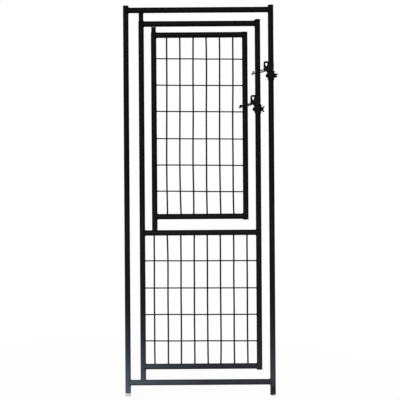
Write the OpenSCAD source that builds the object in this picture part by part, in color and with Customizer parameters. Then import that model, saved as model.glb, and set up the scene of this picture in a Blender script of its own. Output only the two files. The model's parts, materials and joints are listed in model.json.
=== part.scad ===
// Kennel gate panel of round steel tube. A frame of two posts and two rails
// holds a full-height gate on pins. A smaller door hangs on pins in the gate's
// upper bay, and each leaf is held shut by a fork latch. X runs to the right
// along the panel, Y runs to the back, and Z runs up from the foot of the
// left post.

/* [Frame] */
// Distance between the centre lines of the two posts
post_pitch = 554; // [520:1:900]
// Distance between the centre lines of the top and bottom rails
rail_pitch = 1423.6; // [1390:0.2:1900]
// Height of the bottom rail's centre line above the ground
leg_h = 50; // [40:1:150]
// Height of a post's end above the top rail's upper side, under its cap
post_rise = 4.2; // [0.2:0.2:60]
// Height of the left foot plug's collar
left_collar_h = 11; // [2:0.5:20]
// Height of the right foot plug's collar
right_collar_h = 3; // [2:0.5:20]

/* [Tube] */
// Outside diameter of every tube
tube_d = 21.3; // [17:0.1:24]
// Wall thickness of every tube
tube_wall = 1.5; // [1:0.1:2.5]
// Length of each hinge pin inside its stile
pin_depth = 45; // [20:1:55]
// Gap all round between a hinge pin and its stile's bore
pin_clearance = 0.1; // [0.08:0.01:0.3]
// Gap under a hinge stile, above the rail that carries it
stile_gap = 0.3; // [0.2:0.1:3]

/* [Gate] */
// Distance from the left post's centre line to the gate's hinge line
gate_gap_hinge = 58.4; // [56:0.2:80]
// Distance from the gate's latch stile to the right post
gate_gap_latch = 50.8; // [48:0.2:70]
// Distance from the gate's top rail up to the frame's top rail
gate_gap_top = 52.6; // [32:0.2:80]
// Distance from the gate's bottom rail down to the frame's bottom rail
gate_gap_bottom = 61; // [36:0.2:90]
// Height of the gate's middle rail above its bottom rail
mid_rail_h = 511; // [300:0.5:520]
// Height of the latch stile's end above the gate's top rail, under its cap
gate_stile_rise = 2.1; // [0.2:0.1:5]

/* [Door] */
// Distance from the gate's hinge line to the door's hinge line
door_gap_hinge = 47.6; // [46:0.2:60]
// Distance from the door's latch stile to the gate's latch stile
door_gap_latch = 48.8; // [46:0.2:60]
// Distance from the door's top rail up to the gate's top rail
door_gap_top = 43; // [32:0.2:60]
// Distance from the door's bottom rail down to the gate's middle rail
door_gap_bottom = 62; // [36:0.2:80]
// Height of the latch stile's end above the door's top rail, below it where negative
door_stile_rise = -1.6; // [-2:0.1:5]

/* [Mesh] */
// Distance between upright wires
wire_pitch_x = 50.8; // [25.4:0.1:76.2]
// Distance between level wires
wire_pitch_z = 101.6; // [50.8:0.1:152.4]
// Diameter of the mesh wire
wire_d = 4.9; // [2.5:0.1:6]
// Depth to which crossing wires are welded into each other
wire_weld = 0.5; // [0.2:0.1:0.8]
// Rise of the door's mesh above its centred place
door_mesh_rise = 2; // [-8:0.5:8]
// Rise of the gate's mesh above its centred place
gate_mesh_rise = -6; // [-8:0.5:8]

/* [Caps] */
// Length of a plug inside its tube
plug_depth = 12; // [6:1:25]
// Width of a cap's rim beyond the tube's surface
cap_rim = 0.8; // [0.2:0.1:2]
// Thickness of a cap's rim
cap_t = 1.4; // [1:0.1:3]
// Height of a cap's crown above its rim
cap_crown = 1.4; // [0.5:0.1:3]
// Thickness of the flush cap on the door's latch stile
flush_cap_t = 1.2; // [0.8:0.1:3]

/* [Latch] */
// Height of the gate latch's bolt above the frame's bottom rail
gate_latch_h = 1171; // [1050:1:1250]
// Distance of the door latch's bolt below the gate latch's bolt
door_latch_drop = 128; // [90:1:300]
// Wall thickness of the collar round the post
collar_wall = 3.5; // [3:0.5:6]
// Height of the collar
collar_h = 36; // [30:1:44]
// Distance from the post's surface to the fork's pivot line
pivot_out = 7; // [7:0.5:12]
// Height of the fork's pivot line above the bolt
pivot_h = 25; // [25:0.5:34]
// Diameter of the pivot pin
pivot_d = 6; // [5:0.5:7]
// Wall round the pivot pin in the ear and in the fork
pivot_wall = 2.4; // [2:0.1:2.8]
// Thickness of the collar's ear
ear_t = 12; // [8:1:14]
// Free space between the fork's cheeks and the collar
cheek_clear = 5; // [5:0.5:8]
// Thickness of each cheek
cheek_t = 4; // [3:0.5:6]
// Height of the front cheek
cheek_h = 36; // [34:1:46]
// Distance by which the front cheek reaches past the post's centre line
cheek_past = 9; // [4:1:12]
// Distance by which the front cheek reaches out past the hub
cheek_out = 4; // [0:0.5:6]
// Diameter of each prong
prong_d = 4.6; // [4:0.2:7]
// Diameter of the ball on a prong's end
prong_ball = 8.8; // [7.2:0.2:10]
// Angle by which the prongs hang below level
prong_droop = 12; // [4:1:16]
// Distance by which the prongs reach past the stile they hold
prong_past = 12; // [4:1:20]
// Width of the padlock eye in the front cheek
eye_w = 8; // [6:0.5:10]
// Height of the padlock eye
eye_h = 12.5; // [11:0.5:14]
// Width of the metal over and beside the padlock eye
eye_band = 6.5; // [4:0.5:7]
// Diameter of the latch bolt
bolt_d = 8; // [6:0.5:9]
// Height of the bolt's round head
head_h = 5.5; // [3:0.5:8]
// Height of the wing nut along the bolt
nut_h = 5.5; // [5:0.5:10]
// Reach of each wing from the bolt's centre line
wing_reach = 13; // [12:0.5:20]
// Thickness of each wing
wing_t = 3.4; // [1.6:0.1:4]
// Height of each rivet head on the pivot pin
rivet_h = 2; // [1:0.2:3]
// Gap all round between a bolt or pin and its fixed hole
hole_clearance = 0.1; // [0.05:0.01:0.3]
// Gap all round between the pivot pin and the turning fork
pivot_clearance = 0.08; // [0.05:0.01:0.1]
// Turn of the gate latch's wing nut from upright
gate_nut_turn = 70; // [0:5:175]
// Turn of the door latch's wing nut from upright
door_nut_turn = 40; // [0:5:175]

/* [Hidden] */
$fn = 64;

tube_r = tube_d / 2;
bore_r = tube_r - tube_wall;
pin_r = bore_r - pin_clearance;
rim_r = tube_r + cap_rim;
cap_h = cap_t + cap_crown;
over = 1; // overrun of a cut past its face, or of a solid into its neighbour
plug_chamfer = 1;
crown_edge = 2;
crown_in = 5;
crown_edge_h = cap_t + 0.7 * cap_crown;
wire_sides = 8;
wire_turn = 180 / wire_sides;

// Heights of the rails' centre lines
bottom_z = leg_h;
top_z = bottom_z + rail_pitch;
gate_bottom_z = bottom_z + gate_gap_bottom;
gate_top_z = top_z - gate_gap_top;
gate_mid_z = gate_bottom_z + mid_rail_h;
door_bottom_z = gate_mid_z + door_gap_bottom;
door_top_z = gate_top_z - door_gap_top;
post_end_z = top_z + tube_r + post_rise;
gate_stile_end_z = gate_top_z + tube_r + gate_stile_rise;
door_stile_end_z = door_top_z + tube_r + door_stile_rise;
gate_low_end_z = gate_bottom_z - tube_r;
door_low_end_z = door_bottom_z - tube_r;
gate_latch_z = bottom_z + gate_latch_h;
door_latch_z = gate_latch_z - door_latch_drop;

// Places of the stiles' centre lines
gate_hinge_x = gate_gap_hinge;
gate_latch_x = post_pitch - gate_gap_latch;
door_hinge_x = gate_hinge_x + door_gap_hinge;
door_latch_x = gate_latch_x - door_gap_latch;

// Latch sizes, from the post's centre line and the bolt's height
collar_r = tube_r + collar_wall;
collar_lip = 1;
collar_band_h = collar_h / 3;
shoulder_z = 12; // height above the bolt up to which the collar keeps its full width
shoulder_slope_h = 2.5;
boss_wall = 4;
boss_proud = 1;
boss_r = bolt_d / 2 + boss_wall;
boss_x = collar_r + boss_proud;
pivot_x = -(tube_r + pivot_out);
pivot_r = pivot_d / 2;
knuckle_r = pivot_r + pivot_wall;
knuckle_gap = 0.4;
neck_in = 2;
bridge_gap = 0.5;
bridge_t = 2.2;
bridge_in_r = knuckle_r + bridge_gap;
bridge_r = bridge_in_r + bridge_t;
bridge_from = 172;
bridge_to = 242;
lobe_blend = 12;
cheek_y = collar_r + cheek_clear;
cheek_under = 10; // distance from the pivot line down to the front cheek's low edge
cheek_low_z = pivot_h - cheek_under;
cheek_left_x = pivot_x - bridge_r - knuckle_gap - cheek_out;
cheek_corner = 7;
cheek_low_corner = 2;
arc_steps = 6;
eye_x = cheek_left_x + eye_band + eye_w / 2;
eye_z = cheek_low_z + cheek_h - eye_band - eye_w / 2;
eye_point = eye_w / 8;
eye_wrap = 20;
prong_y = cheek_y + cheek_t / 2;
prong_sink = 0.5; // depth of a prong's root inside the hub's lobe
prong_x = pivot_x - knuckle_r + prong_sink;
prong_lift = 0.1; // keeps a prong's root off the hub's lowest line
prong_z = pivot_h - knuckle_r + prong_lift;
head_r = boss_r + 0.3;
bolt_past = 1;
nut_wall = 3.4;
nut_r = bolt_d / 2 + nut_wall;
wing_in = 0.5;
tip_r = 2.8;
tip_out = 1.8; // how far a wing's tip leans past the nut's outer face
rivet_r = knuckle_r - knuckle_gap;

frame_black = "#1b1c1f";
leaf_black = "#202126";
latch_black = "#17181a";
plastic_black = "#141414";
plug_grey = "#c9cdd0";

// ---- tubes ----

// Upright tube between two heights, at the origin of x
module upright(low, high) {
    translate([0, 0, low])
        difference() {
            cylinder(r = tube_r, h = high - low);
            translate([0, 0, -over]) cylinder(r = bore_r, h = high - low + 2 * over);
        }
}

// Solid bar along X from x = 0, of the given radius
module level_bar(radius, length) {
    rotate([0, 90, 0]) cylinder(r = radius, h = length);
}

// Level tube between two uprights, its ends coped round them
module rail(from_x, to_x, z) {
    span = to_x - from_x;
    translate([from_x, 0, z])
        difference() {
            level_bar(tube_r, span);
            level_bar(bore_r, span);
            for (x = [0, span]) translate([x, 0, -tube_d]) cylinder(r = tube_r, h = 2 * tube_d);
        }
}

// Hole for a latch bolt through an upright
module bolt_hole(z) {
    translate([-tube_d, 0, z]) level_bar(bolt_d / 2 + hole_clearance, 2 * tube_d);
}

// Hinge pin between a rail's centre line and a height, coped round the rail
module hinge_pin(x, rail_z, end_z) {
    low = min(rail_z, end_z);
    difference() {
        translate([x, 0, low]) cylinder(r = pin_r, h = abs(end_z - rail_z));
        translate([x - tube_d, 0, rail_z]) level_bar(tube_r, 2 * tube_d);
    }
}

// Push-in cap: a plug below z = 0, a rim and a crown above it
module cap() {
    rotate_extrude()
        polygon([
            [0, -plug_depth], [bore_r - plug_chamfer, -plug_depth],
            [bore_r, plug_chamfer - plug_depth], [bore_r, 0], [rim_r, 0], [rim_r, cap_t],
            [rim_r - crown_edge, crown_edge_h], [rim_r - crown_in, cap_h], [0, cap_h]
        ]);
}

// Flush cap: a plug below z = 0 and a thin crown no wider than the tube
module flush_cap() {
    rotate_extrude()
        polygon([
            [0, -plug_depth], [bore_r - plug_chamfer, -plug_depth],
            [bore_r, plug_chamfer - plug_depth], [bore_r, 0], [tube_r, 0], [tube_r, flush_cap_t / 2],
            [tube_r - crown_edge, flush_cap_t], [0, flush_cap_t]
        ]);
}

// Foot plug: it stands on z = 0 and its collar meets the tube
module foot_plug(collar) {
    plug_top = collar + plug_depth;
    rotate_extrude()
        polygon([
            [0, 0], [tube_r - plug_chamfer, 0], [tube_r, plug_chamfer], [tube_r, collar],
            [bore_r, collar], [bore_r, plug_top - plug_chamfer], [bore_r - plug_chamfer, plug_top],
            [0, plug_top]
        ]);
}

// ---- welded mesh ----

// Number of wires that a clear width takes
function wire_count(clear, pitch) = max(1, floor(clear / pitch));

// Straight wire along Z from z = 0, with a flat towards Y
module wire(length) {
    rotate([0, 0, wire_turn]) cylinder(d = wire_d, h = length, $fn = wire_sides);
}

// Mesh between four tubes, its wire ends seated on them
module mesh(left_x, right_x, low_z, high_z, rise) {
    width = right_x - left_x;
    height = high_z - low_z;
    count_x = wire_count(width - tube_d, wire_pitch_x);
    count_z = wire_count(height - tube_d, wire_pitch_z);
    first_x = (width - (count_x - 1) * wire_pitch_x) / 2;
    first_z = (height - (count_z - 1) * wire_pitch_z) / 2 + rise;
    layer = (wire_d * cos(wire_turn) - wire_weld) / 2;
    translate([left_x, 0, low_z])
        difference() {
            union() {
                for (i = [0 : count_x - 1])
                    translate([first_x + i * wire_pitch_x, -layer, 0]) wire(height);
                for (i = [0 : count_z - 1])
                    translate([0, layer, first_z + i * wire_pitch_z]) rotate([0, 90, 0]) wire(width);
            }
            for (x = [0, width])
                translate([x, 0, -tube_d]) cylinder(r = tube_r, h = height + 2 * tube_d);
            for (z = [0, height])
                translate([-tube_d, 0, z]) level_bar(tube_r, width + 2 * tube_d);
        }
}

// ---- fork latch, round the Z axis with its bolt at z = 0 ----

module at_gate_latch() {
    translate([post_pitch, 0, gate_latch_z]) children();
}

module at_door_latch() {
    translate([gate_latch_x, 0, door_latch_z]) children();
}

// Points along an arc about a centre
function arc(centre, radius, from, to, steps) =
    [for (i = [0 : steps])
        let(angle = from + (to - from) * i / steps) centre + radius * [cos(angle), sin(angle)]];

// Slab with a flat outline in XZ, between two values of y
module slab(y_from, y_to) {
    translate([0, y_to, 0]) rotate([90, 0, 0]) linear_extrude(y_to - y_from) children();
}

// Rod along Y, between two values of y, on the pivot line
module pivot_rod(radius, y_from, y_to) {
    slab(y_from, y_to) translate([pivot_x, pivot_h]) circle(r = radius);
}

// Ear's outline: a knuckle with a neck down to the collar
module ear_outline() {
    translate([pivot_x, pivot_h]) circle(r = knuckle_r);
    polygon([
        [pivot_x, pivot_h - knuckle_r], [pivot_x + neck_in, collar_band_h],
        [-tube_r / 2, collar_band_h], [-tube_r / 2, collar_h / 2],
        [pivot_x + knuckle_r, pivot_h], [pivot_x, pivot_h]
    ]);
}

// Collar round the stile, tapered below and shouldered above, with a bolt boss and an ear
module collar() {
    lip_r = tube_r + collar_lip;
    end_z = collar_h / 2;
    band_z = collar_band_h / 2;
    difference() {
        union() {
            rotate_extrude()
                polygon([
                    [0, -end_z], [lip_r, -end_z], [collar_r, -band_z],
                    [collar_r, shoulder_z], [lip_r, shoulder_z + shoulder_slope_h],
                    [lip_r, end_z], [0, end_z]
                ]);
            translate([-boss_x, 0, 0]) level_bar(boss_r, 2 * boss_x);
            slab(-ear_t / 2, ear_t / 2) ear_outline();
        }
        translate([0, 0, -collar_h]) cylinder(r = tube_r, h = collar_h + 2 * pivot_h);
        bolt_hole(0);
        pivot_rod(pivot_r, -ear_t, ear_t);
    }
}

// Round-headed bolt, its head at the left
module latch_bolt() {
    dome_r = (head_r * head_r + head_h * head_h) / (2 * head_h);
    translate([-boss_x, 0, 0]) level_bar(bolt_d / 2, 2 * boss_x + nut_h + bolt_past);
    intersection() {
        translate([dome_r - head_h - boss_x, 0, 0]) sphere(r = dome_r);
        translate([-boss_x - head_h - over, 0, 0]) level_bar(head_r, head_h + over);
    }
}

// Wing's outline: x runs along the bolt and y runs out from it
module wing_outline() {
    root_y = bolt_d / 2 + over;
    tip = [nut_h + tip_out, wing_reach - tip_r];
    polygon(concat([[wing_in, root_y], [nut_h, root_y]], arc(tip, tip_r, 0, 150, 2 * arc_steps)));
}

// Wing nut on the boss's face, turned about the bolt
module wing_nut(turn) {
    translate([boss_x, 0, 0])
        rotate([turn, 0, 0])
            difference() {
                union() {
                    level_bar(nut_r, nut_h);
                    for (side = [0, 180])
                        rotate([90 + side, 0, 0])
                            translate([0, 0, -wing_t / 2]) linear_extrude(wing_t) wing_outline();
                }
                translate([-over, 0, 0]) level_bar(bolt_d / 2, nut_h + 2 * over);
            }
}

// Riveted pivot pin, from cheek to cheek
module pivot_pin() {
    end_y = cheek_y + cheek_t + knuckle_gap / 2;
    pivot_rod(pivot_r, -end_y, end_y);
    for (y = [-end_y - rivet_h, end_y]) pivot_rod(rivet_r, y, y + rivet_h);
}

// Padlock eye's outline: round above, and narrower down to a blunt point
module eye_outline() {
    translate([eye_x, eye_z])
        polygon(concat(
            arc([0, 0], eye_w / 2, -eye_wrap, 180 + eye_wrap, 2 * arc_steps),
            [[-eye_point, eye_w / 2 - eye_h], [eye_point, eye_w / 2 - eye_h]]
        ));
}

// Front cheek's outline: a plate with round corners and a padlock eye
module cheek_outline() {
    left = cheek_left_x;
    right = cheek_past;
    low = cheek_low_z;
    high = cheek_low_z + cheek_h;
    big = cheek_corner;
    small = cheek_low_corner;
    difference() {
        polygon(concat(
            arc([left + small, low + small], small, 180, 270, arc_steps),
            arc([right - big, low + big], big, 270, 360, arc_steps),
            arc([right - big, high - big], big, 0, 90, arc_steps),
            arc([left + big, high - big], big, 90, 180, arc_steps)
        ));
        eye_outline();
    }
}

// Hub's outline round the pivot line: a knuckle with a lobe on the prongs' side
module hub_outline() {
    translate([pivot_x, pivot_h])
        polygon(concat(
            arc([0, 0], bridge_r, bridge_from, bridge_to, arc_steps),
            arc([0, 0], knuckle_r, bridge_to + lobe_blend, bridge_from + 360 - lobe_blend, 3 * arc_steps)
        ));
}

// Outline of the bridge that joins the two hubs round the ear
module bridge_outline() {
    translate([pivot_x, pivot_h])
        polygon(concat(
            arc([0, 0], bridge_r, bridge_from, bridge_to, arc_steps),
            arc([0, 0], bridge_in_r, bridge_to, bridge_from, arc_steps)
        ));
}

// Prong with a ball end, from the hub's lobe out past the stile
module prong(gap) {
    ball_r = prong_ball / 2;
    rod_r = prong_d / 2;
    length = (gap + tube_r + prong_past + prong_x) / cos(prong_droop) - ball_r;
    neck = asin(rod_r / ball_r) - 90;
    translate([prong_x, 0, prong_z])
        rotate([0, -90 - prong_droop, 0])
            rotate_extrude()
                polygon(concat(
                    arc([0, 0], rod_r, -90, 0, arc_steps),
                    arc([0, length], ball_r, neck, 90, 2 * arc_steps)
                ));
}

// Fork that turns on the pivot pin: two hubs, a bridge, the front cheek and two prongs
module fork(gap) {
    hub_y = ear_t / 2 + knuckle_gap;
    difference() {
        union() {
            slab(-cheek_y - cheek_t, -cheek_y) cheek_outline();
            slab(-cheek_y - cheek_t / 2, -hub_y) hub_outline();
            slab(hub_y, cheek_y + cheek_t) hub_outline();
            slab(-hub_y - over, hub_y + over) bridge_outline();
            for (y = [-prong_y, prong_y]) translate([0, y, 0]) prong(gap);
        }
        pivot_rod(pivot_r + pivot_clearance, -2 * cheek_y, 2 * cheek_y);
    }
}

// ---- frame ----

module left_post() {
    color(frame_black) upright(left_collar_h, post_end_z);
}

module right_post() {
    color(frame_black)
        translate([post_pitch, 0, 0])
            difference() {
                upright(right_collar_h, post_end_z);
                bolt_hole(gate_latch_z);
            }
}

module top_rail() {
    color(frame_black) rail(0, post_pitch, top_z);
}

module bottom_rail() {
    color(frame_black) rail(0, post_pitch, bottom_z);
}

module left_post_cap() {
    color(plastic_black) translate([0, 0, post_end_z]) cap();
}

module right_post_cap() {
    color(plastic_black) translate([post_pitch, 0, post_end_z]) cap();
}

module left_foot_plug() {
    color(plug_grey) foot_plug(left_collar_h);
}

module right_foot_plug() {
    color(plug_grey) translate([post_pitch, 0, 0]) foot_plug(right_collar_h);
}

module gate_top_pin() {
    color(frame_black) hinge_pin(gate_hinge_x, top_z, gate_top_z + tube_r - pin_depth);
}

module gate_bottom_pin() {
    color(frame_black) hinge_pin(gate_hinge_x, bottom_z, bottom_z + tube_r + pin_depth);
}

module gate_latch_collar() {
    color(latch_black) at_gate_latch() collar();
}

module gate_latch_bolt() {
    color(latch_black) at_gate_latch() latch_bolt();
}

module gate_latch_wing_nut() {
    color(latch_black) at_gate_latch() wing_nut(gate_nut_turn);
}

module gate_latch_pivot() {
    color(latch_black) at_gate_latch() pivot_pin();
}

module gate_latch_fork() {
    color(latch_black) at_gate_latch() fork(gate_gap_latch);
}

// ---- gate ----

module gate_hinge_stile() {
    color(leaf_black)
        translate([gate_hinge_x, 0, 0]) upright(bottom_z + tube_r + stile_gap, gate_top_z + tube_r);
}

module gate_latch_stile() {
    color(leaf_black)
        translate([gate_latch_x, 0, 0])
            difference() {
                upright(gate_low_end_z, gate_stile_end_z);
                bolt_hole(door_latch_z);
            }
}

module gate_top_rail() {
    color(leaf_black) rail(gate_hinge_x, gate_latch_x, gate_top_z);
}

module gate_mid_rail() {
    color(leaf_black) rail(gate_hinge_x, gate_latch_x, gate_mid_z);
}

module gate_bottom_rail() {
    color(leaf_black) rail(gate_hinge_x, gate_latch_x, gate_bottom_z);
}

module gate_mesh() {
    color(leaf_black) mesh(gate_hinge_x, gate_latch_x, gate_bottom_z, gate_mid_z, gate_mesh_rise);
}

module gate_stile_top_cap() {
    color(plastic_black) translate([gate_latch_x, 0, gate_stile_end_z]) cap();
}

module gate_stile_bottom_cap() {
    color(plastic_black) translate([gate_latch_x, 0, gate_low_end_z]) rotate([180, 0, 0]) cap();
}

module door_top_pin() {
    color(leaf_black) hinge_pin(door_hinge_x, gate_top_z, door_top_z + tube_r - pin_depth);
}

module door_bottom_pin() {
    color(leaf_black) hinge_pin(door_hinge_x, gate_mid_z, gate_mid_z + tube_r + pin_depth);
}

module door_latch_collar() {
    color(latch_black) at_door_latch() collar();
}

module door_latch_bolt() {
    color(latch_black) at_door_latch() latch_bolt();
}

module door_latch_wing_nut() {
    color(latch_black) at_door_latch() wing_nut(door_nut_turn);
}

module door_latch_pivot() {
    color(latch_black) at_door_latch() pivot_pin();
}

module door_latch_fork() {
    color(latch_black) at_door_latch() fork(door_gap_latch);
}

// ---- door ----

module door_hinge_stile() {
    color(leaf_black)
        translate([door_hinge_x, 0, 0]) upright(gate_mid_z + tube_r + stile_gap, door_top_z + tube_r);
}

module door_latch_stile() {
    color(leaf_black)
        translate([door_latch_x, 0, 0]) upright(door_low_end_z, door_stile_end_z);
}

module door_top_rail() {
    color(leaf_black) rail(door_hinge_x, door_latch_x, door_top_z);
}

module door_bottom_rail() {
    color(leaf_black) rail(door_hinge_x, door_latch_x, door_bottom_z);
}

module door_mesh() {
    color(leaf_black) mesh(door_hinge_x, door_latch_x, door_bottom_z, door_top_z, door_mesh_rise);
}

module door_stile_top_cap() {
    color(plastic_black) translate([door_latch_x, 0, door_stile_end_z]) flush_cap();
}

module door_stile_bottom_cap() {
    color(plastic_black) translate([door_latch_x, 0, door_low_end_z]) rotate([180, 0, 0]) cap();
}

left_post();
right_post();
top_rail();
bottom_rail();
left_post_cap();
right_post_cap();
left_foot_plug();
right_foot_plug();
gate_top_pin();
gate_bottom_pin();
gate_latch_collar();
gate_latch_bolt();
gate_latch_wing_nut();
gate_latch_pivot();
gate_latch_fork();
gate_hinge_stile();
gate_latch_stile();
gate_top_rail();
gate_mid_rail();
gate_bottom_rail();
gate_mesh();
gate_stile_top_cap();
gate_stile_bottom_cap();
door_top_pin();
door_bottom_pin();
door_latch_collar();
door_latch_bolt();
door_latch_wing_nut();
door_latch_pivot();
door_latch_fork();
door_hinge_stile();
door_latch_stile();
door_top_rail();
door_bottom_rail();
door_mesh();
door_stile_top_cap();
door_stile_bottom_cap();
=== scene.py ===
import json
import math
import random

import bmesh
import bpy
from mathutils import Matrix, Vector


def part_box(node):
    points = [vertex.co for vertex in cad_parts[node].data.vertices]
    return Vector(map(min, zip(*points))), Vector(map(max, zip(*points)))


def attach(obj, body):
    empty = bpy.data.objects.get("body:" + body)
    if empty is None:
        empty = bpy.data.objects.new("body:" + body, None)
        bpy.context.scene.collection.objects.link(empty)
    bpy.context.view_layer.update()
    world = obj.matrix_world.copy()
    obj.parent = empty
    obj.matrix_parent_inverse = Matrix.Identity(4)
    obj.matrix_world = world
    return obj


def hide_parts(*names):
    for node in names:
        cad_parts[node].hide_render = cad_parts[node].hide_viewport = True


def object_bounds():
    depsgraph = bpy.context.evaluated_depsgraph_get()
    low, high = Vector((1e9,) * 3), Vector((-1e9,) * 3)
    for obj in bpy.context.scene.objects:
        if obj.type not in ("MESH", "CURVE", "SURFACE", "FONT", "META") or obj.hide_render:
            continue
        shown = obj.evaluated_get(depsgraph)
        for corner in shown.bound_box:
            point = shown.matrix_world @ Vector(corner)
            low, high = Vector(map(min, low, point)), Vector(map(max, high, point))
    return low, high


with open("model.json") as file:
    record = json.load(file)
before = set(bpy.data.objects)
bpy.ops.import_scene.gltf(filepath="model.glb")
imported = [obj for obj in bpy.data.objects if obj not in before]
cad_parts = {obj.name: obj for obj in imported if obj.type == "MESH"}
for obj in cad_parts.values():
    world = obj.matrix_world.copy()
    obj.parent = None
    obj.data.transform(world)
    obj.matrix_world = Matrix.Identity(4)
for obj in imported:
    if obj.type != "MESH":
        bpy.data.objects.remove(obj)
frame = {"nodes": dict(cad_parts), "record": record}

mm = 0.001
cadLow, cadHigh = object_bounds()


def middle(node):
    low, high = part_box(node)
    return (low + high) / 2


def boxSize(node):
    low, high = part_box(node)
    return high - low


def boxTop(node):
    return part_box(node)[1].z


def boxSide(node):  # the side towards the hinge posts
    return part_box(node)[0].x


tubeRadius = boxSize("left_post").x / 2
pinRadius = boxSize("gate_top_pin").x / 2


class Flow:  # one socket of a material, with Python's operators
    def __init__(self, recipe, socket):
        self.recipe = recipe
        self.socket = socket

    def math(self, operation, first, second=0.0):
        return self.recipe.node("ShaderNodeMath", {"operation": operation}, {0: first, 1: second})

    def __add__(self, other):
        return self.math("ADD", self, other)

    def __sub__(self, other):
        return self.math("SUBTRACT", self, other)

    def __rsub__(self, other):
        return self.math("SUBTRACT", other, self)

    def __mul__(self, other):
        return self.math("MULTIPLY", self, other)

    def __truediv__(self, other):
        return self.math("DIVIDE", self, other)

    def __rtruediv__(self, other):
        return self.math("DIVIDE", other, self)

    def __pow__(self, other):
        return self.math("POWER", self, other)

    def __rpow__(self, other):
        return self.math("POWER", other, self)

    def clamped(self):
        return self.math("MINIMUM", self.math("MAXIMUM", self, 0.0), 1.0)

    __radd__ = __add__
    __rmul__ = __mul__


class Recipe:  # the nodes of one material, or of the world
    def __init__(self, owner):
        owner.use_nodes = True
        self.owner = owner
        self.tree = owner.node_tree
        self.tree.nodes.clear()

    def node(self, kind, settings=None, inputs=None, output=0):
        made = self.tree.nodes.new(kind)
        for name, value in (settings or {}).items():
            if name == "stops":
                self.placeStops(made.color_ramp, value)
            else:
                setattr(made, name, value)
        for name, value in (inputs or {}).items():
            if isinstance(value, Flow):
                self.tree.links.new(value.socket, made.inputs[name])
            else:
                made.inputs[name].default_value = value
        return None if output is None else Flow(self, made.outputs[output])

    def placeStops(self, ramp, stops):
        while len(ramp.elements) < len(stops):
            ramp.elements.new(0.5)
        for element, (position, level) in zip(ramp.elements, stops):
            element.position = position
            element.color = (level, level, level, 1.0)

    def place(self):  # the point on the object at rest, in metres
        return self.node("ShaderNodeTexCoord", output=3)

    def axis(self, index):
        return self.node("ShaderNodeSeparateXYZ", {}, {0: self.place()}, output=index)

    def facing(self, index):  # which way the surface points, on the object at rest
        outward = self.node("ShaderNodeTexCoord", output=1)
        return self.node("ShaderNodeSeparateXYZ", {}, {0: outward}, output=index)

    def noise(self, perMetre, detail, roughness=0.5):
        return self.node("ShaderNodeTexNoise", {}, {
            "Vector": self.place(), "Scale": perMetre, "Detail": detail, "Roughness": roughness,
        })

    def ramp(self, value, stops):
        return self.node("ShaderNodeValToRGB", {"stops": stops}, {0: value})

    def blend(self, share, first, second):
        return self.node("ShaderNodeMix", {"data_type": "RGBA"}, {0: share, 6: first, 7: second}, output=2)

    def bump(self, height, depth, strength):
        return self.node("ShaderNodeBump", {}, {"Height": height, "Distance": depth, "Strength": strength})

    def surface(self, inputs):
        shader = self.node("ShaderNodeBsdfPrincipled", {}, inputs)
        self.node("ShaderNodeOutputMaterial", {}, {"Surface": shader}, output=None)
        return self.owner


def shade(red, green, blue):
    return (red, green, blue, 1.0)


powderCoat = {
    "dark": shade(0.0015, 0.0014, 0.0018),
    "light": shade(0.0026, 0.0025, 0.0032),
    "cloudsPerMetre": 14.0,
    "cloudDetail": 3.0,
    "dust": shade(0.03, 0.031, 0.034),
    "specksPerMetre": 1500.0,
    "speckStops": [(0.0, 0.0), (0.68, 0.0), (0.78, 1.0)],
    "speckShare": 0.25,
    "veil": 0.14,  # share of thin dust over the lower half
    "veilTop": 0.82,
    "veilFade": 0.20,
    "lowTint": shade(0.097, 0.118, 0.144),  # paler bluish tint that grows towards the ground
    "lowTintFar": shade(0.040, 0.042, 0.050),  # its colour at the latch side
    "lowTintTop": 0.55,
    "lowTintCurve": 3.15,  # how fast it strengthens on the way down
    "lowTintFade": 0.30,  # metres along X over which its colour changes
    "undersideShade": 0.65,  # painted shade: how much less of it the undersides get, so they stay darker
    "lowTintPost": 0.9,  # how much more of it the right post carries
    "lowTintFoot": 0.75,  # how much less of it the right foot has
    "postEdge": 4 * mm,  # over which the right post's share begins
    "footTop": 32 * mm,
    "footFade": 16 * mm,
    "patchesPerMetre": 9.0,
    "patchDetail": 3.0,
    "patchLow": 0.75,  # its thinnest patches
    "patchSpread": 0.5,
    "peelPerMetre": 420.0,
    "peelDetail": 2.0,
    "peelDepth": 0.12 * mm,
    "peelStrength": 0.55,
    "roughness": 0.36,
    "roughSpread": 0.14,
    "specular": 0.03,
}


# paler bluish tint that grows towards the ground, stronger on the right post and weaker on the right foot
def paleNearGround(recipe, coat):
    x = recipe.axis(0)
    z = recipe.axis(2)
    towardsGround = (1.0 - z / coat["lowTintTop"]).clamped() ** coat["lowTintCurve"]
    noise = recipe.noise(coat["patchesPerMetre"], coat["patchDetail"])
    patches = noise * coat["patchSpread"] + coat["patchLow"]
    onPost = ((x - boxSide("right_post")) / coat["postEdge"]).clamped()
    onFoot = onPost * (1.0 - ((z - coat["footTop"]) / coat["footFade"]).clamped())
    kept = (onPost * coat["lowTintPost"] + 1.0) * (1.0 - onFoot * coat["lowTintFoot"])
    # painted shade: faces that point down get less of the pale tint, so undersides stay darker
    under = (recipe.facing(2) * -1.0).clamped()
    return (towardsGround * patches * kept * (1.0 - under * coat["undersideShade"])).clamped()


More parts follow.
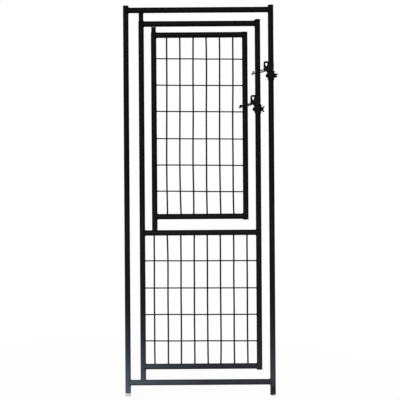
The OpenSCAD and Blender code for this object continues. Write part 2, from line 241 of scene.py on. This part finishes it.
def makePowderCoat(name, coat, tint=1.0, extraRoughness=0.0, paleMask=None):
    recipe = Recipe(bpy.data.materials.new(name))
    clouds = recipe.noise(coat["cloudsPerMetre"], coat["cloudDetail"])
    dark = [channel * tint for channel in coat["dark"][:3]] + [1.0]
    light = [channel * tint for channel in coat["light"][:3]] + [1.0]
    specks = recipe.ramp(recipe.noise(coat["specksPerMetre"], 1.0), coat["speckStops"]) * coat["speckShare"]
    veil = ((coat["veilTop"] - recipe.axis(2)) / coat["veilFade"]).clamped() * coat["veil"]
    dusty = recipe.blend((specks + veil).clamped(), recipe.blend(clouds, dark, light), coat["dust"])
    # the colour of the paler tint towards the ground, bluish on the left and neutral on the right
    lowTone = recipe.blend((recipe.axis(0) / coat["lowTintFade"]).clamped(), coat["lowTint"], coat["lowTintFar"])
    colour = recipe.blend(paleNearGround(recipe, coat), dusty, lowTone)
    if paleMask:
        colour = recipe.blend(paleMask(recipe), colour, paleSteel["colour"])
    smoothest = coat["roughness"] + extraRoughness - coat["roughSpread"] / 2
    peel = recipe.noise(coat["peelPerMetre"], coat["peelDetail"])
    return recipe.surface({
        "Base Color": colour,
        "Roughness": clouds * coat["roughSpread"] + smoothest,
        "Normal": recipe.bump(peel, coat["peelDepth"], coat["peelStrength"]),
        "Specular IOR Level": coat["specular"],
    })


latchCoat = dict(
    powderCoat,
    dark=shade(0.0028, 0.0028, 0.0029),
    light=shade(0.0055, 0.0054, 0.0056),
    peelPerMetre=900.0,
    peelDepth=0.2 * mm,
    roughness=0.5,
)


# pale steel grey towards the gate fork's prong tips, in a band on the door's hinge pin, and in the right
# foot's chip
paleSteel = {
    "colour": shade(0.30, 0.30, 0.285),
    "start": 39 * mm,  # how far out from the pivot the prongs begin to turn pale steel grey
    "length": 7 * mm,  # over which they turn fully pale
    "pinTop": 0.35,  # of a tube's radius, from the rail's middle down to the pale band
    "pinBand": 7 * mm,  # height of that band on the door's hinge pin
    "pinShare": 0.32,
    "marksPerMetre": 420.0,
    "markDetail": 3.0,
    "markRoughness": 0.6,
    "markStops": [(0.30, 0.35), (0.62, 1.0)],
}


def markPattern(recipe):
    steel = paleSteel
    marks = recipe.noise(steel["marksPerMetre"], steel["markDetail"], steel["markRoughness"])
    return recipe.ramp(marks, steel["markStops"])


# the prongs turn pale steel grey towards their tips
def paleProngTips(recipe):
    out = middle("gate_latch_pivot").x - paleSteel["start"] - recipe.axis(0)
    return (out / paleSteel["length"]).clamped() * markPattern(recipe)


# a pale steel-grey band on the door's hinge pin, just under the rail
def palePinBand(recipe):
    under = boxTop("door_top_pin") - tubeRadius * paleSteel["pinTop"] - recipe.axis(2)
    hump = 1.0 - (under / paleSteel["pinBand"] - 0.5) ** 2 * 4.0  # 1 half way down the band, 0 at its ends
    return hump.clamped() * markPattern(recipe) * paleSteel["pinShare"]


footChip = {
    "centre": 2.2 * mm,  # to the right of the post's middle
    "halfWidth": 3.3 * mm,
    "top": 8 * mm,
    "raggedPerMetre": 330.0,
    "raggedDetail": 3.0,
    "raggedRoughness": 0.6,
    "raggedLow": 0.2,
    "raggedSpread": 1.6,
    "crispness": 7.0,
    "share": 0.95,
}


def chippedFoot(recipe):
    chip = footChip
    aside = (recipe.axis(0) - (middle("right_post").x + chip["centre"])) / chip["halfWidth"]
    above = recipe.axis(2) / chip["top"]
    noise = recipe.noise(chip["raggedPerMetre"], chip["raggedDetail"], chip["raggedRoughness"])
    ragged = noise * chip["raggedSpread"] + chip["raggedLow"]
    edge = (ragged - aside ** 2 - above ** 2) * chip["crispness"]
    front = (recipe.facing(1) * -1.0).clamped()
    return edge.clamped() * front * chip["share"]


capPlastic = {
    "dark": shade(0.0032, 0.0032, 0.0034),
    "light": shade(0.0055, 0.0055, 0.0058),
    "cloudsPerMetre": 120.0,
    "cloudDetail": 2.0,
    "grainPerMetre": 2600.0,
    "grainDepth": 0.05 * mm,
    "grainStrength": 0.6,
    "roughness": 0.55,
    "roughSpread": 0.12,
    "specular": 0.12,
}


def makeCapPlastic(name, plastic):
    recipe = Recipe(bpy.data.materials.new(name))
    clouds = recipe.noise(plastic["cloudsPerMetre"], plastic["cloudDetail"])
    grain = recipe.noise(plastic["grainPerMetre"], 1.0)
    return recipe.surface({
        "Base Color": recipe.blend(clouds, plastic["dark"], plastic["light"]),
        "Roughness": clouds * plastic["roughSpread"] + plastic["roughness"],
        "Normal": recipe.bump(grain, plastic["grainDepth"], plastic["grainStrength"]),
        "Specular IOR Level": plastic["specular"],
    })


plugPlastic = {
    "clean": shade(0.80, 0.82, 0.81),
    "grubby": shade(0.46, 0.48, 0.47),
    "grimePerMetre": 160.0,
    "grimeDetail": 4.0,
    "grimeRoughness": 0.6,
    "grimeStops": [(0.35, 0.0), (0.75, 1.0)],
    "grimeShare": 0.5,
    "grimeDepth": 0.1 * mm,
    "grimeStrength": 0.4,
    "splashTop": 12 * mm,  # dirt that rises from the ground
    "splashShare": 0.5,
    "roughness": 0.5,
    "roughSpread": 0.2,
}
# the right foot's plug: near black all over but for its chip
darkPlugPlastic = dict(
    plugPlastic,
    clean=shade(0.42, 0.43, 0.43),
    grubby=shade(0.010, 0.010, 0.011),
    roughness=0.6,
)


def makePlugPlastic(name, plastic, chip=None):
    recipe = Recipe(bpy.data.materials.new(name))
    noise = recipe.noise(plastic["grimePerMetre"], plastic["grimeDetail"], plastic["grimeRoughness"])
    grime = recipe.ramp(noise, plastic["grimeStops"])
    if chip:  # dark all over but for the chip
        dirt = 1.0 - chip(recipe)
    else:
        splash = (1.0 - recipe.axis(2) / plastic["splashTop"]).clamped() * plastic["splashShare"]
        dirt = (grime * plastic["grimeShare"] + splash).clamped()
    return recipe.surface({
        "Base Color": recipe.blend(dirt, plastic["clean"], plastic["grubby"]),
        "Roughness": grime * plastic["roughSpread"] + plastic["roughness"],
        "Normal": recipe.bump(grime, plastic["grimeDepth"], plastic["grimeStrength"]),
    })


finishes = {
    "frame_black": makePowderCoat("frame powder coat", powderCoat),
    "leaf_black": makePowderCoat("leaf powder coat", powderCoat, tint=1.1),
    "mesh_black": makePowderCoat("wire powder coat", powderCoat, tint=1.2, extraRoughness=0.06),
    "latch_black": makePowderCoat("latch casting coat", latchCoat),
    "cap_black": makeCapPlastic("moulded cap", capPlastic),
    "plug_grey": makePlugPlastic("moulded foot plug", plugPlastic),
}
weldFinish = makePowderCoat("weld powder coat", powderCoat, tint=0.95, extraRoughness=0.04)
markedNodes = {
    "gate_latch_fork": makePowderCoat("pale-tipped fork coat", latchCoat, paleMask=paleProngTips),
    "door_top_pin": makePowderCoat("pale-banded pin coat", powderCoat, tint=1.1, paleMask=palePinBand),
    "right_post": makePowderCoat("chipped post coat", powderCoat, paleMask=chippedFoot),
    "right_foot_plug": makePlugPlastic("dark foot plug", darkPlugPlastic, chippedFoot),
}


def dressNodes():
    slots = {part["node"]: part["material_slot"] for part in frame["record"]["subparts"]}
    for name, node in frame["nodes"].items():
        finish = markedNodes.get(name, finishes[slots[name]])
        for index in range(max(1, len(node.material_slots))):
            if not node.material_slots:
                node.data.materials.append(finish)
            node.material_slots[index].material = finish


edgeBreak = {
    "nodes": ("collar", "fork", "wing_nut", "bolt", "pivot"),
    "width": 0.5 * mm,
    "segments": 2,
    "sharpFrom": 38.0,  # degrees between faces
}


def breakEdges(spec):  # castings and fasteners have no knife edges
    for name, node in frame["nodes"].items():
        if "_latch_" in name and name.endswith(spec["nodes"]):
            bevel = node.modifiers.new("broken edges", "BEVEL")
            bevel.width = spec["width"]
            bevel.segments = spec["segments"]
            bevel.limit_method = "ANGLE"
            bevel.angle_limit = math.radians(spec["sharpFrom"])
            bevel.use_clamp_overlap = True
            bevel.harden_normals = False


dressNodes()
breakEdges(edgeBreak)
print("finishes:", len(finishes) + len(markedNodes) + 1)


def newPiece(name, mesh, body, material):
    mesh.normal_update()
    data = bpy.data.meshes.new(name)
    mesh.to_mesh(data)
    mesh.free()
    for face in data.polygons:
        face.use_smooth = True
    data.materials.append(material)
    piece = bpy.data.objects.new(name, data)
    bpy.context.scene.collection.objects.link(piece)
    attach(piece, body)
    return piece


ringStart = Vector((0.31, 0.17, 0.93))  # a direction that no rod runs along


def sweep(mesh, points, radii, sides, closed=False):  # round rod along points
    count = len(points)
    rings = []
    side = ringStart
    for index, point in enumerate(points):
        before = points[index - 1] if index or closed else point
        after = points[(index + 1) % count] if index < count - 1 or closed else point
        ahead = (after - before).normalized()
        side = (side - ahead * side.dot(ahead)).normalized()
        other = ahead.cross(side)
        ring = []
        for step in range(sides):
            angle = 2 * math.pi * step / sides
            offset = side * math.cos(angle) + other * math.sin(angle)
            ring.append(mesh.verts.new(point + offset * radii[index]))
        rings.append(ring)
    for first, second in zip(rings, rings[1:]):
        for step in range(sides):
            after = (step + 1) % sides
            mesh.faces.new((first[step], first[after], second[after], second[step]))
    if closed:
        joinRings(mesh, rings[-1], rings[0])
    else:
        mesh.faces.new(list(reversed(rings[0])))
        mesh.faces.new(rings[-1])


def joinRings(mesh, first, second):  # bridges two rings, turned to their nearest match
    sides = len(first)

    def apart(turn):
        return sum((first[step].co - second[(step + turn) % sides].co).length for step in range(sides))

    turn = min(range(sides), key=apart)
    for step in range(sides):
        after = (step + 1) % sides
        mesh.faces.new((
            first[step], first[after], second[(after + turn) % sides], second[(step + turn) % sides],
        ))


def blob(mesh, centre, size):  # small rounded lump
    place = Matrix.Translation(centre) @ Matrix.Diagonal((*size, 1.0))
    bmesh.ops.create_icosphere(mesh, subdivisions=2, radius=1.0, matrix=place)


weldBead = {
    "radius": 1.3 * mm,
    "proud": 0.35 * mm,  # keeps the beads out of the tubes' bores
    "ripple": 0.09,
    "ripplePitch": 2.1 * mm,
    "swells": 12,  # places where the bead's thickness changes
    "thin": 0.88,
    "thick": 1.12,
    "steps": 150,
    "sides": 8,
}


def saddle(centre, along, upward, branchRadius, bead):  # where a round branch meets a tube's side
    across = along.cross(upward)
    points = []
    for step in range(bead["steps"]):
        angle = 2 * math.pi * step / bead["steps"]
        wide = branchRadius * math.cos(angle)
        reach = math.sqrt(max(tubeRadius ** 2 - wide ** 2, 0.0))
        mainNormal = (along * reach + across * wide) / tubeRadius
        branchNormal = across * math.cos(angle) + upward * math.sin(angle)
        onCurve = centre + along * reach + across * wide + upward * branchRadius * math.sin(angle)
        points.append(onCurve + (mainNormal + branchNormal) * bead["proud"])
    return points


def addBead(mesh, dice, centre, along, upward, branchRadius, bead):
    points = saddle(centre, Vector(along), Vector(upward), branchRadius, bead)
    swell = [dice.uniform(bead["thin"], bead["thick"]) for _ in range(bead["swells"])]
    radii = []
    travelled = 0.0
    for index, point in enumerate(points):
        travelled += (point - points[index - 1]).length if index else 0.0
        slow = index / len(points) * len(swell)
        low = swell[int(slow)]
        high = swell[(int(slow) + 1) % len(swell)]
        wave = low + (high - low) * (slow - int(slow))
        ripple = 1 + bead["ripple"] * math.sin(2 * math.pi * travelled / bead["ripplePitch"])
        radii.append(bead["radius"] * wave * ripple)
    sweep(mesh, points, radii, bead["sides"], closed=True)


def railWelds(mesh, dice, rail, left, right, bead):
    height = middle(rail).z
    addBead(mesh, dice, Vector((middle(left).x, 0, height)), (1, 0, 0), (0, 0, 1), tubeRadius, bead)
    addBead(mesh, dice, Vector((middle(right).x, 0, height)), (-1, 0, 0), (0, 0, 1), tubeRadius, bead)


def pinWeld(mesh, dice, pin, rail, bead):  # on the underside of the rail
    centre = Vector((middle(pin).x, 0, middle(rail).z))
    addBead(mesh, dice, centre, (0, 0, -1), (1, 0, 0), pinRadius, bead)


def makeTubeWelds(bead):
    posts = ("left_post", "right_post")
    gateStiles = ("gate_hinge_stile", "gate_latch_stile")
    doorStiles = ("door_hinge_stile", "door_latch_stile")
    gateRails = ("gate_top_rail", "gate_mid_rail", "gate_bottom_rail")
    jobs = {  # the rails of each body, what they are welded to, its pin and slot
        "frame": (("top_rail", "bottom_rail"), posts, ("gate_top_pin", "top_rail"), "frame_black"),
        "gate": (gateRails, gateStiles, ("door_top_pin", "gate_top_rail"), "leaf_black"),
        "door": (("door_top_rail", "door_bottom_rail"), doorStiles, None, "leaf_black"),
    }
    for body, (rails, uprights, pin, slotName) in jobs.items():
        dice = random.Random("welds of the " + body)
        mesh = bmesh.new()
        for rail in rails:
            railWelds(mesh, dice, rail, *uprights, bead)
        if pin:
            pinWeld(mesh, dice, *pin, bead)
        newPiece(body + "_tube_welds", mesh, body, weldFinish)


makeTubeWelds(weldBead)
print("tube welds made")


latchCasting = {
    "lipRadius": 2.1 * mm,  # rolled lip round the collar's mouth
    "lipInset": 1.2 * mm,  # from the collar's side in to the lip's centre line
    "lipDrop": 3.0 * mm,
    "flangeRadius": 1.3 * mm,  # the wing nut's foot
    "flangeReach": 6.9 * mm,
    "wingRoot": 2.4 * mm,
    "wingTip": 2.8 * mm,
    "wingFrom": 4.5 * mm,  # from the bolt's middle out to the wing's root
    "wingEnd": 0.95,  # share of the reach past which the solid's points are its wing's end
    "wingSteps": 6,
    "ringSteps": 64,
    "sides": 12,
}


def addRing(mesh, centre, first, second, reach, radius, spec):
    turns = [2 * math.pi * step / spec["ringSteps"] for step in range(spec["ringSteps"])]
    points = [centre + (first * math.cos(turn) + second * math.sin(turn)) * reach for turn in turns]
    sweep(mesh, points, [radius] * len(points), spec["sides"], closed=True)


def wingAhead(nut, boltHeight, spec):  # one wing's direction from the bolt, and its reach
    spokes = [Vector((0, point.co.y, point.co.z - boltHeight)) for point in nut.data.vertices]
    ahead = max(spokes, key=lambda spoke: spoke.length).normalized()
    reach = max(spoke.dot(ahead) for spoke in spokes)
    ends = [spoke for spoke in spokes if spoke.dot(ahead) > spec["wingEnd"] * reach]
    ahead = sum(ends, Vector()).normalized()
    return ahead, max(spoke.dot(ahead) for spoke in spokes)


def addWing(mesh, nut, bolt, ahead, reach, spec):
    nutLow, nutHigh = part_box(nut)
    root = Vector((nutLow.x + spec["wingRoot"], 0, bolt)) + ahead * spec["wingFrom"]
    tip = Vector((nutHigh.x - spec["wingTip"], 0, bolt)) + ahead * (reach - spec["wingTip"])
    shares = [step / spec["wingSteps"] for step in range(spec["wingSteps"] + 1)]
    radii = [spec["wingRoot"] + (spec["wingTip"] - spec["wingRoot"]) * share ** 2 for share in shares]
    sweep(mesh, [root.lerp(tip, share) for share in shares], radii, spec["sides"])
    blob(mesh, tip, [spec["wingTip"]] * 3)


def makeCasting(latch, post, body, spec):
    mesh = bmesh.new()
    alongX, alongY, alongZ = Matrix.Identity(3)
    bolt = middle(latch + "_bolt").z
    mouth = Vector((middle(post).x, 0, 2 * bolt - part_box(latch + "_collar")[0].z - spec["lipDrop"]))
    side = boxSize(latch + "_collar").y / 2 - spec["lipInset"]
    addRing(mesh, mouth, alongX, alongY, side, spec["lipRadius"], spec)
    nut = latch + "_wing_nut"
    foot = Vector((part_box(nut)[0].x + spec["flangeRadius"], 0, bolt))
    addRing(mesh, foot, alongY, alongZ, spec["flangeReach"], spec["flangeRadius"], spec)
    ahead, reach = wingAhead(frame["nodes"][nut], bolt, spec)
    for way in (ahead, -ahead):
        addWing(mesh, nut, bolt, way, reach, spec)
    newPiece(latch + "_casting", mesh, body, finishes["latch_black"])


makeCasting("gate_latch", "right_post", "frame", latchCasting)
makeCasting("door_latch", "gate_latch_stile", "gate", latchCasting)
print("latch castings made")


wire = {
    "upright": 3.1 * mm,  # radius with its coat
    "level": 2.45 * mm,
    "layer": 2.05 * mm,  # from the panel's middle to a wire's centre line
    "pitchX": 50.8 * mm,
    "pitchZ": 101.6 * mm,
    "sway": 0.6 * mm,
    "waves": 3,  # waves that add up to a wire's sway
    "waveTurns": (0.5, 2.4),
    "waveSizes": (0.3, 1.0),
    "kick": 1.2 * mm,  # how far an end is pulled aside by its weld
    "kickLength": 26 * mm,
    "levelShare": 0.5,  # how much of the sway and kick a level wire has
    "step": 9 * mm,
    "sides": 10,
    "bite": 0.4 * mm,  # how far an end reaches into its tube
    "spot": 3.3 * mm,  # weld metal where two wires cross, across and up
    "spotRange": (0.9, 1.1),
    "spotDepth": 2.2 * mm,
    "endWeld": 3.8 * mm,  # weld metal where a wire meets a tube, across the wire
    "endRange": (0.85, 1.15),
    "endDepth": 3.1 * mm,
    "endLength": 2.4 * mm,
}


def wirePlaces(low, high, pitch, shift, uneven):
    first = (low + high) / 2 + shift - (len(uneven) - 1) / 2 * pitch
    return [first + index * pitch + off * mm for index, off in enumerate(uneven)]


def makeSway(dice, length, spec, share=1.0):
    waves = []
    for _ in range(spec["waves"]):
        turns = dice.uniform(*spec["waveTurns"])
        phase = dice.uniform(0, 2 * math.pi)
        waves.append((turns, phase, dice.uniform(*spec["waveSizes"])))
    scale = share * spec["sway"] / sum(size for _, _, size in waves)
    kicks = [dice.uniform(-1, 1) * spec["kick"] * share for _ in range(2)]

    def sideways(run):
        turn = 2 * math.pi * run / length
        bow = sum(size * math.sin(turns * turn + phase) for turns, phase, size in waves)
        start = kicks[0] * math.exp(-run / spec["kickLength"])
        end = kicks[1] * math.exp(-(length - run) / spec["kickLength"])
        return bow * scale + start + end

    return sideways


def pointsAlong(length, spec, place):
    steps = int(length / spec["step"])
    return [Vector(place(length * index / steps)) for index in range(steps + 1)]


def makeWires(name, panel, spec):
    body = panel["body"]
    dice = random.Random(name)
    inset = math.sqrt(tubeRadius ** 2 - spec["layer"] ** 2) - spec["bite"]
    left, right = (middle(stile).x for stile in panel["stiles"])
    bottom, top = (middle(rail).z for rail in panel["rails"])
    columns = wirePlaces(left, right, spec["pitchX"], panel["aside"], panel["offPitchX"])
    rows = wirePlaces(bottom, top, spec["pitchZ"], panel["rise"], panel["offPitchZ"])
    tall = top - bottom - 2 * inset
    wide = right - left - 2 * inset
    left += inset
    bottom += inset
    mesh = bmesh.new()
    spots = bmesh.new()
    columnSway = {}
    rowSway = {}

    def onColumn(x, run):  # how far along X an upright wire stands, run metres up
        height = 2 * run / tall - 1  # -1 at the lower rail, 1 at the upper
        bow = panel["bow"] * (height ** 2 - 1 / 3)
        bend = panel["bend"] * math.sin(math.pi * height)
        return x + columnSway[x](run) + bow + panel["lean"] * height + bend

    def onRow(z, run):  # how high a level wire is, run metres along
        return z + rowSway[z](run) - panel["tilt"] * (run - wide / 2)

    def addWire(points, radius, endSize):
        sweep(mesh, points, [radius] * len(points), spec["sides"])
        for end in (points[0], points[-1]):
            blob(spots, end, endSize(spec["endWeld"] * dice.uniform(*spec["endRange"])))

    for x in columns:
        columnSway[x] = makeSway(dice, tall, spec)
        points = pointsAlong(tall, spec, lambda run: (onColumn(x, run), -spec["layer"], bottom + run))
        addWire(points, spec["upright"], lambda size: (size, spec["endDepth"], spec["endLength"]))
    for z in rows:
        rowSway[z] = makeSway(dice, wide, spec, spec["levelShare"])
        points = pointsAlong(wide, spec, lambda run: (left + run, spec["layer"], onRow(z, run)))
        addWire(points, spec["level"], lambda size: (spec["endLength"], spec["endDepth"], size))
    for x in columns:
        for z in rows:
            size = spec["spot"] * dice.uniform(*spec["spotRange"])
            centre = Vector((onColumn(x, z - bottom), 0, onRow(z, x - left)))
            blob(spots, centre, (size, spec["spotDepth"], size))
    wires = newPiece(name, mesh, body, finishes["mesh_black"])
    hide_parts(panel["node"])
    newPiece(name + "_welds", spots, body, finishes["mesh_black"])


gatePanel = {
    "node": "gate_mesh",
    "body": "gate",
    "stiles": ("gate_hinge_stile", "gate_latch_stile"),
    "rails": ("gate_bottom_rail", "gate_mid_rail"),
    "rise": -6 * mm,  # of the whole mesh over the middle of its bay
    "aside": -0.25 * mm,
    "offPitchX": (0.2, 1.4, 0.6, 0.6, -0.15, -0.6, -0.6, -0.4),  # mm off the even pitch, one for each wire
    "offPitchZ": (-0.4, -0.85, -1.1, 1.45),
    "tilt": 0.0048,  # fall of its level wires towards the latch side
    "bow": 0.0,  # bow, lean and S-shaped bend of its upright wires
    "lean": -0.1 * mm,
    "bend": 0.0,
}
doorPanel = {
    "node": "door_mesh",
    "body": "door",
    "stiles": ("door_hinge_stile", "door_latch_stile"),
    "rails": ("door_bottom_rail", "door_top_rail"),
    "rise": 2 * mm,
    "aside": 0.75 * mm,
    "offPitchX": (0.6, 0.2, -0.2, -0.25, -0.05, -0.65),
    "offPitchZ": (0.65, -0.4, -1.3, 1.2, 0.0, -0.3),
    "tilt": 0.0123,
    "bow": 1.6 * mm,
    "lean": 0.25 * mm,
    "bend": 0.8 * mm,
}
makeWires("gate_wires", gatePanel, wire)
makeWires("door_wires", doorPanel, wire)
print("welded wire made")


stageLook = {
    "white": shade(1.0, 1.0, 1.0),
    "floorColour": shade(0.93, 0.93, 0.94),
    "shadowShare": 0.05,  # how much of the floor's true shading shows beside the panel
    "shadowReach": 1.6,  # metres over which that share fades out
    "ambient": shade(0.80, 0.82, 0.86),
    "ambientStrength": 0.34,
    "halfWidth": 14.0,
}


def seenPlain(recipe):  # the camera, gloss and glass see plain white here
    rays = [recipe.node("ShaderNodeLightPath", output="Is " + kind + " Ray")
            for kind in ("Camera", "Glossy", "Transmission")]
    return (rays[0] + rays[1] + rays[2]).clamped()


def makeFloor(look):
    recipe = Recipe(bpy.data.materials.new("pale floor"))
    glow = recipe.node("ShaderNodeEmission", {}, {"Color": look["white"], "Strength": 1.0})
    matt = recipe.node("ShaderNodeBsdfDiffuse", {}, {"Color": look["floorColour"]})
    away = recipe.node("ShaderNodeVectorMath", {"operation": "LENGTH"}, {0: recipe.place()}, output=1)
    near = (1.0 - away / look["shadowReach"]).clamped()
    bright = seenPlain(recipe) * (1.0 - near * look["shadowShare"])
    mixed = recipe.node("ShaderNodeMixShader", {}, {0: bright, 1: matt, 2: glow})
    recipe.node("ShaderNodeOutputMaterial", {}, {"Surface": mixed}, output=None)
    mesh = bmesh.new()
    bmesh.ops.create_grid(mesh, x_segments=2, y_segments=2, size=look["halfWidth"])
    data = bpy.data.meshes.new("floor")
    mesh.to_mesh(data)
    mesh.free()
    data.materials.append(recipe.owner)
    floor = bpy.data.objects.new("floor", data)
    bpy.context.scene.collection.objects.link(floor)


def makeWorld(look):
    world = bpy.data.worlds.new("studio")
    bpy.context.scene.world = world
    recipe = Recipe(world)
    ambient = recipe.node("ShaderNodeBackground", {}, {
        "Color": look["ambient"], "Strength": look["ambientStrength"],
    })
    white = recipe.node("ShaderNodeBackground", {}, {"Color": look["white"], "Strength": 1.0})
    mixed = recipe.node("ShaderNodeMixShader", {}, {0: seenPlain(recipe), 1: ambient, 2: white})
    recipe.node("ShaderNodeOutputWorld", {}, {"Surface": mixed}, output=None)


lamps = {  # place, size and power of each soft lamp, all aimed at the panel's middle
    "front": ((0.1, -3.2, 1.5), 2.6, 78.0),
    "left": ((-2.6, -1.6, 1.9), 1.8, 18.0),
    "back": ((1.9, 2.8, 2.2), 2.0, 30.0),
}


def aim(thing, target):
    direction = target - thing.location
    thing.rotation_euler = direction.to_track_quat("-Z", "Y").to_euler()


def makeLamps(target):
    for name, (place, size, power) in lamps.items():
        light = bpy.data.lights.new(name + " lamp", "AREA")
        light.shape = "SQUARE"
        light.size = size
        light.energy = power
        lamp = bpy.data.objects.new(name + " lamp", light)
        lamp.location = place
        bpy.context.scene.collection.objects.link(lamp)
        aim(lamp, target)


camera = {
    "distance": 2.75,
    "fieldWidth": 1.530,  # width of the view at the panel, in metres
    "roll": -0.38,  # degrees; the panel leans a little to the left
    "sideways": 0.0024,
    "upward": 0.0012,
    "sensor": 36.0,
    "clipEnd": 60.0,
}


def makeCamera(target, spec):
    data = bpy.data.cameras.new("camera")
    data.sensor_width = spec["sensor"]
    data.lens = spec["sensor"] * spec["distance"] / spec["fieldWidth"]
    data.clip_end = spec["clipEnd"]
    eye = bpy.data.objects.new("camera", data)
    aimed = target + Vector((spec["sideways"], 0, spec["upward"]))
    eye.location = aimed - Vector((0, spec["distance"], 0))
    look = (aimed - eye.location).to_track_quat("-Z", "Y").to_matrix()
    eye.rotation_euler = (look @ Matrix.Rotation(math.radians(spec["roll"]), 3, "Z")).to_euler()
    bpy.context.scene.collection.objects.link(eye)
    bpy.context.scene.camera = eye


posts = (middle("left_post") + middle("right_post")) / 2
panelMiddle = Vector((posts.x, 0, (cadLow.z + cadHigh.z) / 2))
makeFloor(stageLook)
makeWorld(stageLook)
makeLamps(panelMiddle)
makeCamera(panelMiddle, camera)
bpy.context.scene.view_settings.view_transform = "Standard"
print("floor, light and camera set")
